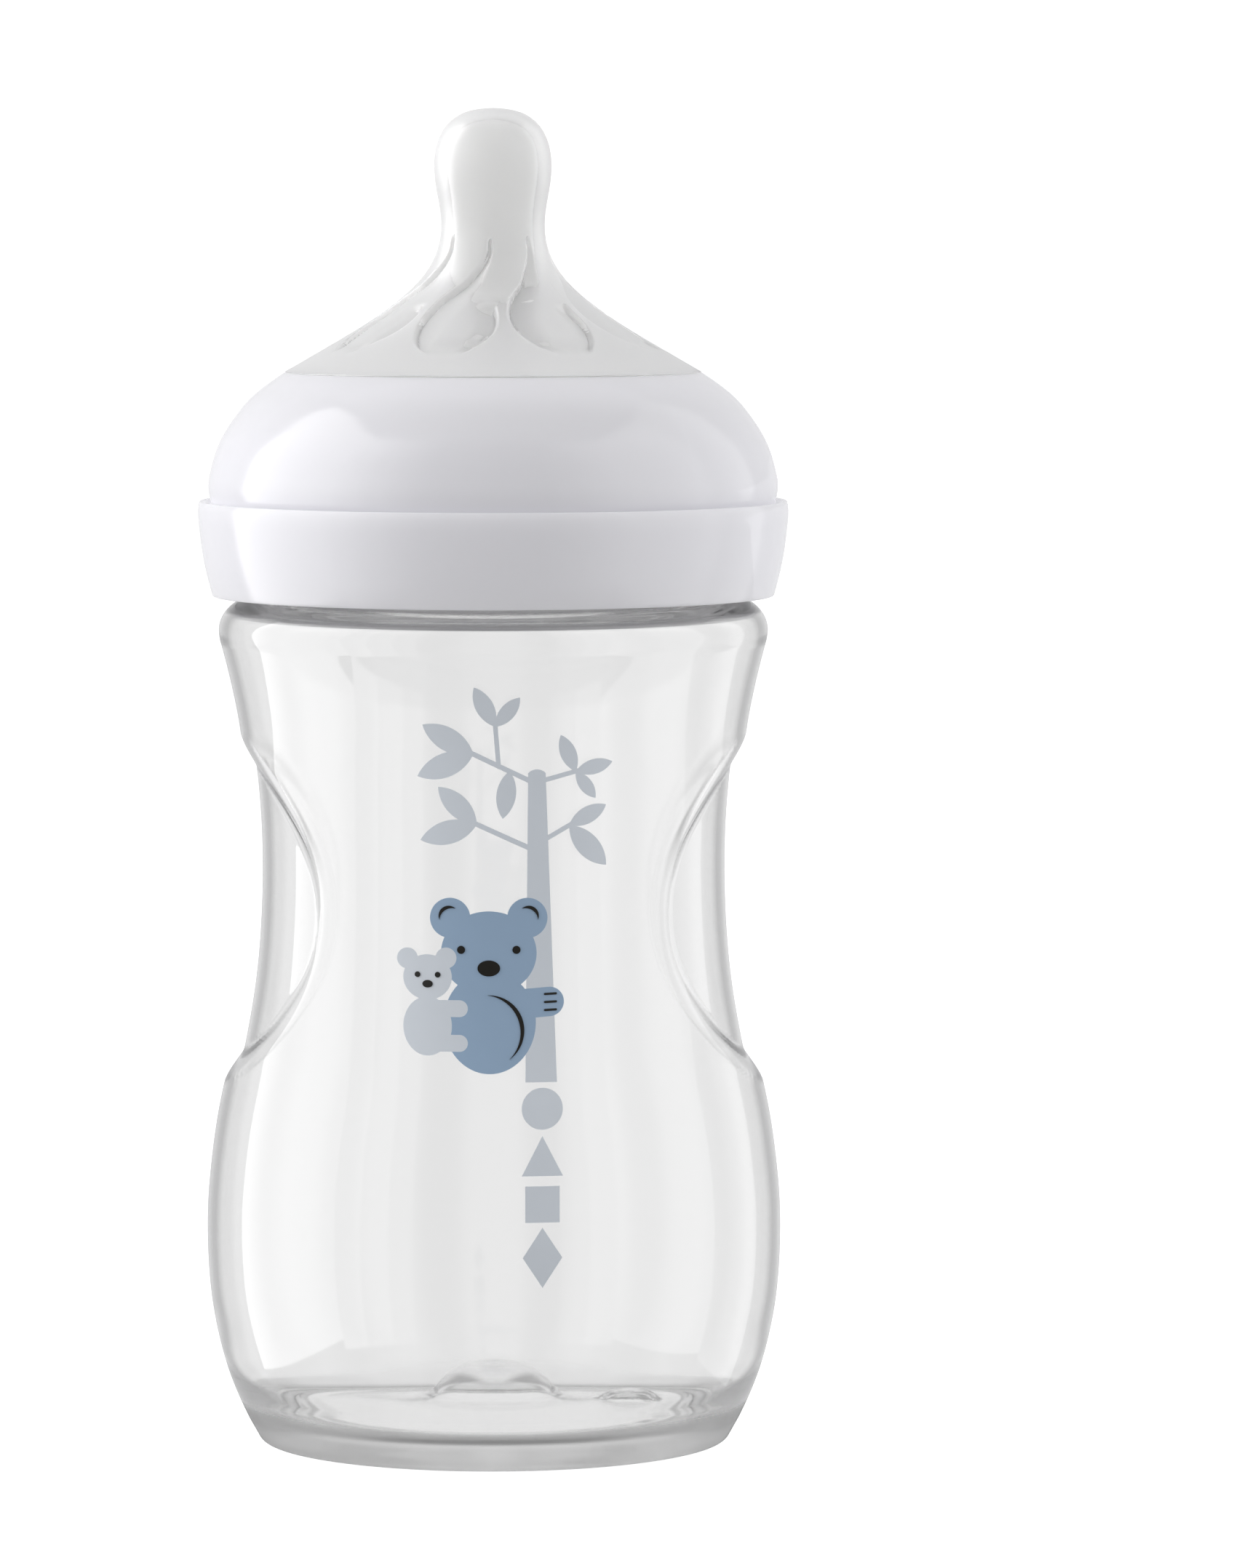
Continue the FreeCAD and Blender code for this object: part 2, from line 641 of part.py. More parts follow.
for item in doc.Objects:
    if "Invalid" in item.State or "Error" in item.State:
        print("PROBLEM", item.Name, item.State)
os.makedirs("parts", exist_ok=True)
for node in (bottle, ring, teat, *films):
    shape = node.Shape
    print(node.Label, shape.isValid(), len(shape.Solids), round(shape.Volume, 1), shape.BoundBox)
    node.Shape.exportStep(f"parts/{node.Label}.step")
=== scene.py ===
"""The looks of a clear wide-neck baby bottle with a white screw ring and a soft teat."""
import math

import bpy
import numpy as np
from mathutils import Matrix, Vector


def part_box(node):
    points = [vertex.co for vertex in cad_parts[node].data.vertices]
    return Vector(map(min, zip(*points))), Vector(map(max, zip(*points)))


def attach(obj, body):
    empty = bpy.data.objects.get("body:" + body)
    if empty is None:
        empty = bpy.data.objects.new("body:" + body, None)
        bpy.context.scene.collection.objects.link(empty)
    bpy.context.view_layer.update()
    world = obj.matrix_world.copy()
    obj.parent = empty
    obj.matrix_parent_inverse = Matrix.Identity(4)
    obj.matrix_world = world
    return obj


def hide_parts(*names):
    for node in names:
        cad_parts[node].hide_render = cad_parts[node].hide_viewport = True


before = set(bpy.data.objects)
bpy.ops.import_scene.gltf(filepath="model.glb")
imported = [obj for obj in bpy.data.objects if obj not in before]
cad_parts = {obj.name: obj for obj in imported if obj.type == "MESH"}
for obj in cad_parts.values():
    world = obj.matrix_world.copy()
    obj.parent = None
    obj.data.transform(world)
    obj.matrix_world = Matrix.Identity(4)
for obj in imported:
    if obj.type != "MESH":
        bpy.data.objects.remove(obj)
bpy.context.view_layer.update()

MM = 0.001
TAU = 2 * math.pi

# Heights and radii are in millimetres, as in the CAD part.
BOTTLE_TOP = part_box("bottle")[1].z / MM
RING_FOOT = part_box("screw_ring")[0].z / MM
RING_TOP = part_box("screw_ring")[1].z / MM
TEAT_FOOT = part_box("teat")[0].z / MM

WALL = 1.1
THREAD_LEAD = 8.0
THREAD_FOOT = 111.4
THREAD_RISE = 6.4
NECK_RADIUS = 28.2
THREAD_CREST = 29.9
# Half widths of a thread's ridge at its crest and its root.
RIDGE_WIDTHS = (0.45, 1.15)
# How far before and after its end a ridge comes in, in radians.
RIDGE_END = (0.02, 0.12)
# Each grip is dished by a surface turned about an axis on the far side, this far from the bottle's.
GRIP_OFFSET = 5.0
# Height of the grips' middle, and half width and half height of the ovals at border and floor.
GRIP_MIDDLE = 65.6
GRIP_BORDER = (23.6, 21.4)
GRIP_FLOOR = (20.9, 17.5)
# The ovals' power, and the straight share of the slope from border to floor.
GRIP_POWER = 2.15
GRIP_STRAIGHT = 0.45
NUB_PLACE = (16.4, -3.0)
# Heights of the nub against the distance from its middle, under the base and on the floor.
NUB_UNDER = ((0, 1.4, 2.3, 2.9, 3.2), (5.3, 5.15, 4.5, 3.2, 2.0))
NUB_FLOOR = ((0, 1.8, 3.0, 3.8, 4.4), (6.4, 6.25, 5.6, 4.4, 3.0))
# The nub is raised between these radii, on the lines that lie below this height.
NUB_BAND = (10, 24)
NUB_TOP = 9
# Heights between which the grips and the thread change the bottle's lines.
BODY_BAND = (38, 92)
NECK_BAND = (108, 121)
# Segments round each turned piece.
SEGMENTS = {"bottle": 400, "ring": 288, "teat": 640}


# ---------------------------------------------------------------- outlines

def smooth_curve(points, step=0.6):
    """A natural cubic spline through the points, sampled about every step."""
    places = np.array(points, float)
    chord = np.r_[0, np.cumsum(np.linalg.norm(np.diff(places, axis=0), axis=1))]
    gaps = np.diff(chord)
    count = len(places)
    system = np.eye(count)
    target = np.zeros((count, 2))
    for i in range(1, count - 1):
        system[i, i - 1:i + 2] = gaps[i - 1], 2 * (gaps[i - 1] + gaps[i]), gaps[i]
        slopes = np.diff(places[i - 1:i + 2], axis=0) / gaps[i - 1:i + 1, None]
        target[i] = 6 * (slopes[1] - slopes[0])
    bend = np.linalg.solve(system, target)
    along = np.linspace(0, chord[-1], max(3, int(chord[-1] / step) + 1))
    left = np.clip(np.searchsorted(chord, along, side="right") - 1, 0, count - 2)
    gap = gaps[left][:, None]
    a = (chord[left + 1] - along)[:, None]
    b = (along - chord[left])[:, None]
    curve = (bend[left] * a ** 3 + bend[left + 1] * b ** 3) / (6 * gap)
    curve += (places[left] / gap - bend[left] * gap / 6) * a
    return curve + (places[left + 1] / gap - bend[left + 1] * gap / 6) * b


def rounded(corners, step=0.6):
    """Straight runs between (radius, height, rounding) corners, each corner an arc."""
    out = [np.array(corners[0][:2], float)]
    for before, here, after in zip(corners, corners[1:], corners[2:]):
        corner = np.array(here[:2], float)
        back = np.array(before[:2], float) - corner
        ahead = np.array(after[:2], float) - corner
        u, v = back / np.linalg.norm(back), ahead / np.linalg.norm(ahead)
        half = math.acos(np.clip(u @ v, -1, 1)) / 2
        reach = here[2] / max(math.tan(half), 1e-6)
        if here[2] == 0 or half > 1.55:
            out.append(corner)
            continue
        centre = corner + (u + v) / np.linalg.norm(u + v) * here[2] / math.sin(half)
        first, last = corner + u * reach - centre, corner + v * reach - centre
        sweep = math.atan2(first[0] * last[1] - first[1] * last[0], first @ last)
        for share in np.linspace(0, 1, 7):
            turn = sweep * share
            c, s = math.cos(turn), math.sin(turn)
            out.append(centre + np.array([c * first[0] - s * first[1], s * first[0] + c * first[1]]))
    out.append(np.array(corners[-1][:2], float))
    return split_long(np.array(out), step)


def split_long(line, step):
    """The same line with every stretch cut to at most one step."""
    out = [line[0]]
    for a, b in zip(line, line[1:]):
        parts = max(1, int(np.linalg.norm(b - a) / step))
        out += [a + (b - a) * k / parts for k in range(1, parts + 1)]
    return np.array(out)


def join_lines(*lines):
    """One line out of several that follow each other, without doubled points."""
    out = [lines[0]]
    for line in lines[1:]:
        out.append(line[1:] if np.linalg.norm(line[0] - out[-1][-1]) < 1e-6 else line)
    return np.concatenate(out)


# ---------------------------------------------------------------- meshes

def make_mesh(name, vertices, faces):
    """A smooth-shaded object from millimetre points."""
    mesh = bpy.data.meshes.new(name)
    mesh.from_pydata((np.asarray(vertices) * MM).tolist(), [], faces)
    mesh.validate()
    mesh.update()
    mesh.shade_smooth()
    piece = bpy.data.objects.new(name, mesh)
    bpy.context.scene.collection.objects.link(piece)
    return piece


def turned(name, line, segments, shape=None, closed=False):
    """A mesh turned from a line of (radius, height). shape(angles, points) may move its points."""
    angles = np.arange(segments) * TAU / segments
    points = np.zeros((len(line), segments, 3))
    points[:, :, 0] = line[:, :1] * np.cos(angles)
    points[:, :, 1] = line[:, :1] * np.sin(angles)
    points[:, :, 2] = line[:, 1:2]
    if shape:
        points = shape(angles, points)
    poles = [i for i in (0, len(line) - 1) if not closed and line[i][0] < 1e-6]
    vertices, number = [], np.zeros((len(line), segments), int)
    for i in range(len(line)):
        if i in poles:
            number[i] = len(vertices)
            vertices.append(points[i, 0])
        else:
            number[i] = np.arange(segments) + len(vertices)
            vertices.extend(points[i])
    faces = []
    pairs = list(zip(range(len(line) - 1), range(1, len(line))))
    if closed:
        pairs.append((len(line) - 1, 0))
    for low, high in pairs:
        for k in range(segments):
            after = (k + 1) % segments
            corners = [number[low, k], number[low, after], number[high, after], number[high, k]]
            faces.append(list(dict.fromkeys(int(c) for c in corners)))
    return make_mesh(name, vertices, faces)


def soft_step(x, low, high):
    """0 below low, 1 above high, smooth between."""
    t = np.clip((x - low) / (high - low), 0, 1)
    return t * t * (3 - 2 * t)


# ---------------------------------------------------------------- bottle

BODY_POINTS = [
    (30.22, 2.9), (31.57, 5.8), (32.68, 8.7), (33.86, 13.0), (34.65, 17.35), (35.06, 21.7),
    (35.19, 26.0), (35.07, 30.3), (34.67, 34.6), (34.08, 39.0), (33.26, 43.3), (32.2, 48.0),
    (31.2, 54.0), (30.5, 62.0), (30.35, 70.0), (30.5, 79.0), (30.94, 87.0), (31.54, 90.55),
    (32.15, 93.4), (32.86, 96.3), (33.42, 98.4),
]
SHOULDER_POINTS = [
    (33.42, 98.4), (33.56, 99.8), (33.16, 101.25), (31.94, 102.7), (30.3, 103.7), (29.0, 104.7),
    (28.35, 106.3), (28.2, 108.0),
]
ROOM_SHOULDER_POINTS = [
    (25.9, 108.0), (26.0, 106.5), (26.8, 104.2), (28.6, 102.9), (30.6, 102.0), (31.8, 101.2),
    (32.35, 99.9), (32.32, 98.4),
]
UNDER_POINTS = [
    (0, 8.15), (3.9, 7.85), (5.6, 6.9), (7.4, 4.4), (9.6, 3.6), (13.5, 3.05), (17.5, 2.5),
    (21.5, 2.0), (24.4, 1.45), (25.9, 0.8), (26.9, 0),
]
FLOOR_POINTS = [
    (29.6, 5.1), (28.4, 3.9), (26.0, 3.25), (22.5, 3.3), (18.5, 3.75), (14.5, 4.3), (10.6, 4.9),
    (8.3, 5.7), (6.3, 8.1), (4.3, 9.1), (0, 9.35),
]
GRIP_POINTS = [
    (31.9, 42.0), (30.75, 47.6), (29.22, 56.2), (28.53, 63.4), (28.3, 70.5), (28.52, 77.7),
    (28.97, 82.7), (29.9, 90.0),
]


def inside_oval(across, up, sizes):
    """Distance from an oval's middle, 1 on its border."""
    total = (across / sizes[0]) ** GRIP_POWER + (up / sizes[1]) ** GRIP_POWER
    return total ** (1 / GRIP_POWER)


def waisted(angles, points, inset):
    """Radius of each point, dished inside an oval at both sides where the grips are."""
    radius = np.hypot(points[:, :, 0], points[:, :, 1])
    height = points[:, :, 2]
    line = smooth_curve(GRIP_POINTS, 0.4)
    reach = np.interp(height, line[:, 1], line[:, 0]) + GRIP_OFFSET - inset
    along = GRIP_OFFSET * np.sin(angles)[None, :]
    dish = np.sqrt(reach ** 2 - along ** 2) - GRIP_OFFSET * np.abs(np.cos(angles))
    across = np.abs((radius + inset) * np.sin(angles)[None, :])
    up = np.abs(height - GRIP_MIDDLE)
    past_border = inside_oval(across, up, GRIP_BORDER) - 1
    past_floor = np.maximum(inside_oval(across, up, GRIP_FLOOR) - 1, 0)
    share = np.clip(-past_border / np.maximum(past_floor - past_border, 1e-6), 0, 1)
    share = np.where(past_border > 0, 0, share)
    slope = GRIP_STRAIGHT * share + (1 - GRIP_STRAIGHT) * soft_step(share, 0, 1)
    return radius - np.maximum(radius - dish, 0) * slope


def thread_height(angles, heights, foot, rise, first_angle):
    """How far a two-start ridge stands out, 0 to 1, over a grid of heights and angles."""
    total = np.zeros(np.broadcast(angles, heights).shape)
    before, after = RIDGE_END
    for start in (0, math.pi):
        for lap in (-1, 0, 1):
            turn = angles + lap * TAU - first_angle - start
            off = np.abs(heights - foot - THREAD_LEAD * turn / TAU)
            length = rise / THREAD_LEAD * TAU
            ends = soft_step(turn, -before, after)
            ends *= 1 - soft_step(turn, length - after, length + before)
            total = np.maximum(total, (1 - soft_step(off, *RIDGE_WIDTHS)) * ends)
    return total


def raise_nub(points, rows, outline):
    """Lift the base into a small round nub beside its middle."""
    away = np.hypot(points[rows, :, 0] - NUB_PLACE[0], points[rows, :, 1] - NUB_PLACE[1])
    lifted = np.interp(away, *outline)
    points[rows, :, 2] = np.maximum(points[rows, :, 2], lifted)


def bottle_shape(angles, points):
    """Grips on the body, a thread on the neck and a nub in the base."""
    radius = np.hypot(points[:, :, 0], points[:, :, 1])
    height = points[:, :, 2]
    line_radius = radius[:, 0]
    line_height = height[:, 0]
    outside = np.zeros(len(points), bool)
    outside[:OUTSIDE_ROWS] = True
    low, high = BODY_BAND
    body_rows = (line_height > low) & (line_height < high)
    for rows, inset in ((outside & body_rows, 0), (~outside & body_rows, WALL)):
        radius[rows] = waisted(angles, points[rows], inset)
    low, high = NECK_BAND
    neck_rows = outside & (line_height > low) & (line_height < high)
    ridge = thread_height(angles[None, :], height[neck_rows], THREAD_FOOT, THREAD_RISE, 0)
    radius[neck_rows] += ridge * (THREAD_CREST - NECK_RADIUS)
    points[:, :, 0] = radius * np.cos(angles)
    points[:, :, 1] = radius * np.sin(angles)
    near, far = NUB_BAND
    low_rows = (line_height < NUB_TOP) & (line_radius > near) & (line_radius < far)
    raise_nub(points, outside & low_rows, NUB_UNDER)
    raise_nub(points, ~outside & low_rows, NUB_FLOOR)
    return points


def bottle_lines():
    """The outside line from under the base to the rim, and the inside line back down."""
    base = smooth_curve(UNDER_POINTS, 0.6)
    foot = rounded([(26.9, 0, 0), (28.6, 0, 1.2), BODY_POINTS[0] + (0,)], 0.8)
    side = smooth_curve(BODY_POINTS, 0.45)
    shoulder = smooth_curve(SHOULDER_POINTS, 0.35)
    neck = rounded([
        SHOULDER_POINTS[-1] + (0,), (NECK_RADIUS, BOTTLE_TOP, 0.9), (25.9, BOTTLE_TOP, 0.9),
        ROOM_SHOULDER_POINTS[0] + (0,),
    ], 0.3)
    outside = join_lines(base, foot, side, shoulder, neck[: len(neck) // 2])
    room_side = [ROOM_SHOULDER_POINTS[-1]]
    room_side += [(r - WALL, z) for r, z in reversed(BODY_POINTS[:-1]) if z > 8] + [(30.45, 6.6)]
    inside = join_lines(
        neck[len(neck) // 2:], smooth_curve(ROOM_SHOULDER_POINTS, 0.35),
        smooth_curve(room_side, 0.5), smooth_curve([room_side[-1], *FLOOR_POINTS], 0.5),
    )
    inside[-1] = (0, inside[-1][1])
    return outside, inside


OUTSIDE_LINE, INSIDE_LINE = bottle_lines()
OUTSIDE_ROWS = len(OUTSIDE_LINE)


def build_bottle():
    """The clear shell as one closed mesh, outside and inside."""
    line = np.concatenate([OUTSIDE_LINE, INSIDE_LINE])
    return turned("bottle_shell", line, SEGMENTS["bottle"], bottle_shape)


# ---------------------------------------------------------------- screw ring

DOME_POINTS = [
    (25.4, RING_TOP), (27.38, 129.7), (29.87, 127.6), (31.64, 125.4), (32.98, 123.3),
    (33.9, 121.2), (34.5, 119.05), (34.77, 117.6), (34.68, 116.2), (34.45, 115.2),
]
COLLAR_POINTS = [
    (36.0, 114.9), (36.06, 114.0), (35.97, 112.6), (35.64, 109.8), (35.12, 106.95),
    (34.42, 104.2),
]
RING_BORE = 30.4
RING_CREST = 28.6
# A quarter turn on from the neck's ridges, and under them, where the ring bears when it is shut.
RING_THREAD_FOOT = THREAD_FOOT - 1.78 + THREAD_LEAD / 4
RING_THREAD_RISE = 4.8


def ring_shape(angles, points):
    """The thread inside the bore."""
    radius = np.hypot(points[:, :, 0], points[:, :, 1])
    height = points[:, :, 2]
    rows = (np.abs(radius[:, 0] - RING_BORE) < 0.7) & (height[:, 0] < NECK_BAND[1])
    ridge = thread_height(
        angles[None, :], height[rows], RING_THREAD_FOOT, RING_THREAD_RISE, math.pi / 2
    )
    radius[rows] -= ridge * (RING_BORE - RING_CREST)
    points[:, :, 0] = radius * np.cos(angles)
    points[:, :, 1] = radius * np.sin(angles)
    return points


def build_ring():
    """Dome, trough, collar and threaded bore, turned in one piece."""
    lip = rounded([(24.75, 127.8, 0), (24.75, RING_TOP, 0.3), (25.4, RING_TOP, 0)], 0.5)
    trough = rounded([
        DOME_POINTS[-1] + (0,), (34.55, 114.65, 0.12), (35.05, 114.55, 0.15), (35.4, 115.35, 0.12),
        (35.85, 115.4, 0.18), COLLAR_POINTS[0] + (0,),
    ], 0.15)
    under = rounded([
        COLLAR_POINTS[-1] + (0,), (34.3, RING_FOOT, 0.22), (32.8, RING_FOOT, 0.3),
        (32.2, 105.0, 0.4), (RING_BORE, 110.0, 0.8), (RING_BORE, 124.0, 0.8), (29.2, 126.2, 0.6),
        (27.95, 127.8, 0.2), (24.9, 127.8, 0),
    ], 0.3)
    line = join_lines(
        lip, smooth_curve(DOME_POINTS, 0.4), trough, smooth_curve(COLLAR_POINTS, 0.4), under
    )
    return turned("ring_shell", line, SEGMENTS["ring"], ring_shape, closed=True)


# ---------------------------------------------------------------- teat

NIPPLE_POINTS = [
    (0, 163.2), (2.21, 162.99), (4.22, 162.28), (5.81, 160.87), (6.81, 158.75), (7.15, 156.3),
    (6.96, 153.8), (6.48, 151.0), (6.31, 148.85), (6.75, 146.0), (8.17, 143.2), (10.9, 140.35),
    (14.7, 137.5), (20.43, 134.0), (25.4, 131.12),
]
TEAT_ROOM_POINTS = [
    (22.9, 130.6), (19.3, 132.9), (13.7, 136.3), (9.6, 139.3), (6.6, 142.6), (5.1, 146.2),
    (4.7, 149.0), (4.9, 151.5), (5.4, 154.4), (5.5, 156.6), (5.0, 158.9), (3.3, 160.9),
    (0, 161.7),
]
# The flare lies outside this radius and below this height.
FLARE_RADIUS = 6.3
FLARE_TOP = 147.8
PETALS = 8
PETAL_PHASE = math.radians(-107.5)
PETAL_DEPTH = 0.55
CREASE_DEPTH = 0.3
CREASE_WIDTH = 0.2
# The edges of a petal: plan radius in mm and degrees from its middle, from the neck outwards.
PETAL_LEFT = [
    (6.45, 13.5), (6.66, 13.6), (7.0, 11.5), (7.43, 7.5), (8.12, 1.5), (9.18, -4.8), (10.1, -11.3),
    (11.0, -15.7), (12.0, -17.8), (13.2, -18.8), (14.4, -18.6), (15.7, -17.5), (16.9, -15.7),
    (18.0, -13.5), (19.1, -10.8), (19.9, -8.1), (20.7, -5.5),
]
PETAL_RIGHT = [
    (6.45, 34.0), (9.0, 26.0), (10.8, 19.0), (12.3, 18.3), (13.3, 18.9), (14.3, 19.0), (15.4, 18.4),
    (16.6, 16.9), (17.8, 14.3), (19.0, 11.1), (19.8, 9.0), (20.7, 7.2),
]
# Plan radii between which each part of a petal comes in or dies out.
PETAL_START = (6.38, 6.5)
PETAL_END = (18.8, 21.2)
FLOOR_START = (8, 12)
RIGHT_START = (11.6, 13.2)
RIGHT_CREASE_START = (11.8, 12.6)
FOOT_START = (17.2, 19.4)
# Shares of the full depth over a petal's floor and at its foot.
FLOOR_SHARE = 0.1
FOOT_SHARE = 0.45
# Distances from an edge: its own half width, and where the pressing has faded out. The pairs give
# them against the plan radius.
EDGE = 0.1
RIGHT_BLUR = ((10.8, 12.4), (2.5, 0.1))
LEFT_FADE = ((6.4, 6.7, 7.4, 9, 12, 20), (0.3, 0.45, 1.0, 2.4, 4.5, 3.0))
RIGHT_FADE = 2.6
# Inside this radius a petal reaches into the next one's sector, up to this turn in radians.
SWING_RADIUS = 8.5
SWING_TURN = -0.2


def petal_relief(radius, angle):
    """Depth of the pressed petals at a plan radius and angle, in millimetres."""
    turn = (angle - PETAL_PHASE + math.pi / PETALS) % (TAU / PETALS) - math.pi / PETALS
    swung = (radius < SWING_RADIUS) & (turn < SWING_TURN)
    turn = np.where(swung, turn + TAU / PETALS, turn)
    left_line, right_line = (
        np.radians(np.interp(radius, *np.transpose(line)))
        for line in (PETAL_LEFT, PETAL_RIGHT)
    )
    from_left = (turn - left_line) * radius
    from_right = (right_line - turn) * radius
    blur = np.interp(radius, *RIGHT_BLUR)
    left = soft_step(from_left, -EDGE, EDGE)
    right = soft_step(from_right, -blur, blur)
    near_left = 1 - soft_step(from_left, EDGE, np.interp(radius, *LEFT_FADE))
    near_right = 1 - soft_step(from_right, EDGE, RIGHT_FADE)
    near_right *= soft_step(radius, *RIGHT_START)
    near_foot = FOOT_SHARE * soft_step(radius, *FOOT_START)
    rest = FLOOR_SHARE * soft_step(radius, *FLOOR_START)
    floor = rest + (1 - rest) * np.maximum(np.maximum(near_left, near_right), near_foot)
    ends = soft_step(radius, *PETAL_START) * (1 - soft_step(radius, *PETAL_END))
    crease = np.exp(-(from_left / CREASE_WIDTH) ** 2)
    right_crease = np.exp(-(from_right / CREASE_WIDTH) ** 2)
    crease += right_crease * soft_step(radius, *RIGHT_CREASE_START)
    return (PETAL_DEPTH * left * right * floor + CREASE_DEPTH * crease) * ends


def teat_shape(angles, points):
    """The petals pressed into the flare."""
    radius = np.hypot(points[:, :, 0], points[:, :, 1])
    angle = np.broadcast_to(angles, radius.shape)
    flare = np.zeros(len(points), bool)
    flare[:TEAT_SKIN_ROWS] = True
    flare &= (radius[:, 0] > FLARE_RADIUS) & (points[:, 0, 2] < FLARE_TOP)
    depth = np.where(flare[:, None], petal_relief(radius, angle), 0)
    run = np.gradient(np.stack([radius[:, 0], points[:, 0, 2]]), axis=1)
    run /= np.maximum(np.hypot(*run), 1e-9)
    radius = radius + depth * run[1][:, None]
    points[:, :, 2] -= depth * run[0][:, None]
    points[:, :, 0] = radius * np.cos(angles)
    points[:, :, 1] = radius * np.sin(angles)
    return points


TEAT_SKIN = smooth_curve(NIPPLE_POINTS, 0.22)
TEAT_SKIN[:, 0] = np.maximum(TEAT_SKIN[:, 0], 0)
TEAT_SKIN_ROWS = len(TEAT_SKIN)


def build_teat():
    """Nipple, flare, groove and flange, with its hollow inside."""
    groove = rounded([
        NIPPLE_POINTS[-1] + (0,), (24.7, RING_TOP + 0.05, 0.1), (24.7, 127.75, 0.1),
        (27.8, 127.75, 0.3), (27.8, TEAT_FOOT, 0.3), (23.0, TEAT_FOOT, 0.3),
        TEAT_ROOM_POINTS[0] + (0,),
    ], 0.5)
    room = smooth_curve(TEAT_ROOM_POINTS, 0.6)
    room[-1] = (0, room[-1][1])
    line = join_lines(TEAT_SKIN, groove, room)
    return turned("teat_skin", line, SEGMENTS["teat"], teat_shape)


# ---------------------------------------------------------------- materials

FLOOR_GLOW = 0.95
# The bottle turns from clear to dull between these radii, which grow by the flare with height,
# and between these heights.
HEEL_SIDE = (27.3, 28.2)
HEEL_FLARE = 0.5
HEEL_TOP = (6.0, 4.2)


def new_material(name):
    """An empty node material with its Principled shader."""
    material = bpy.data.materials.new(name)
    material.use_nodes = True
    return material, material.node_tree, material.node_tree.nodes["Principled BSDF"]


def add_noise(tree, scale, detail, low, high):
    """Soft noise in object space, mapped to a range."""
    place = tree.nodes.new("ShaderNodeTexCoord")
    noise = tree.nodes.new("ShaderNodeTexNoise")
    noise.inputs["Scale"].default_value = scale
    noise.inputs["Detail"].default_value = detail
    spread = tree.nodes.new("ShaderNodeMapRange")
    spread.inputs["To Min"].default_value = low
    spread.inputs["To Max"].default_value = high
    tree.links.new(place.outputs["Object"], noise.inputs["Vector"])
    tree.links.new(noise.outputs["Fac"], spread.inputs["Value"])
    return spread.outputs["Result"]


def vary_colour(tree, shader, first, second, scale):
    """The base colour drifts between two close tones."""
    mix = tree.nodes.new("ShaderNodeMix")
    mix.data_type = "RGBA"
    mix.inputs["A"].default_value = (*first, 1)
    mix.inputs["B"].default_value = (*second, 1)
    tree.links.new(add_noise(tree, scale, 3, 0, 1), mix.inputs["Factor"])
    tree.links.new(mix.outputs["Result"], shader.inputs["Base Color"])


def add_bump(tree, shader, scale, detail, height):
    """Fine relief, with its height in metres."""
    bump = tree.nodes.new("ShaderNodeBump")
    bump.inputs["Strength"].default_value = 1.0
    bump.inputs["Distance"].default_value = height
    tree.links.new(add_noise(tree, scale, detail, 0, 1), bump.inputs["Height"])
    tree.links.new(bump.outputs["Normal"], shader.inputs["Normal"])


def add_mix(tree, first, second, share):
    """A colour mix steered by a socket; each side may be a colour or another socket."""
    mix = tree.nodes.new("ShaderNodeMix")
    mix.data_type = "RGBA"
    for name, value in (("A", first), ("B", second)):
        if isinstance(value, tuple):
            mix.inputs[name].default_value = value
        else:
            tree.links.new(value, mix.inputs[name])
    tree.links.new(share, mix.inputs["Factor"])
    return mix.outputs["Result"]


def add_range(tree, value, low, high):
    """A smooth step between two values of a socket."""
    spread = tree.nodes.new("ShaderNodeMapRange")
    spread.interpolation_type = "SMOOTHSTEP"
    spread.inputs["From Min"].default_value = low
    spread.inputs["From Max"].default_value = high
    tree.links.new(value, spread.inputs["Value"])
    return spread.outputs["Result"]


def add_math(tree, operation, first, second):
    """A math node on a socket and a number or a second socket."""
    node = tree.nodes.new("ShaderNodeMath")
    node.operation = operation
    tree.links.new(first, node.inputs[0])
    if isinstance(second, float):
        node.inputs[1].default_value = second
    else:
        tree.links.new(second, node.inputs[1])
    return node.outputs["Value"]


def set_plain(shader, **values):
    """Uniform values set straight on the shader's sockets."""
    for name, value in values.items():
        shader.inputs[name.replace("_", " ")].default_value = value


def frost_heel(tree, shader, clear, frosted):
    """Roughness that rises round the heel of the bottle, where the mould leaves it dull."""
    place = tree.nodes.new("ShaderNodeTexCoord")
    split = tree.nodes.new("ShaderNodeSeparateXYZ")
    flat = tree.nodes.new("ShaderNodeVectorMath")
    flat.operation = "MULTIPLY"
    flat.inputs[1].default_value = (1, 1, 0)
    length = tree.nodes.new("ShaderNodeVectorMath")
    length.operation = "LENGTH"
    tree.links.new(place.outputs["Object"], split.inputs["Vector"])
    tree.links.new(place.outputs["Object"], flat.inputs[0])
    tree.links.new(flat.outputs["Vector"], length.inputs[0])
    flare = add_math(tree, "MULTIPLY", split.outputs["Z"], HEEL_FLARE)
    side = add_math(tree, "SUBTRACT", length.outputs["Value"], flare)
    away = add_range(tree, side, HEEL_SIDE[0] * MM, HEEL_SIDE[1] * MM)
    low = add_range(tree, split.outputs["Z"], HEEL_TOP[0] * MM, HEEL_TOP[1] * MM)
    rough = tree.nodes.new("ShaderNodeMapRange")
    rough.inputs["To Min"].default_value = clear
    rough.inputs["To Max"].default_value = frosted
    tree.links.new(add_math(tree, "MULTIPLY", away, low), rough.inputs["Value"])
    tree.links.new(rough.outputs["Result"], shader.inputs["Roughness"])


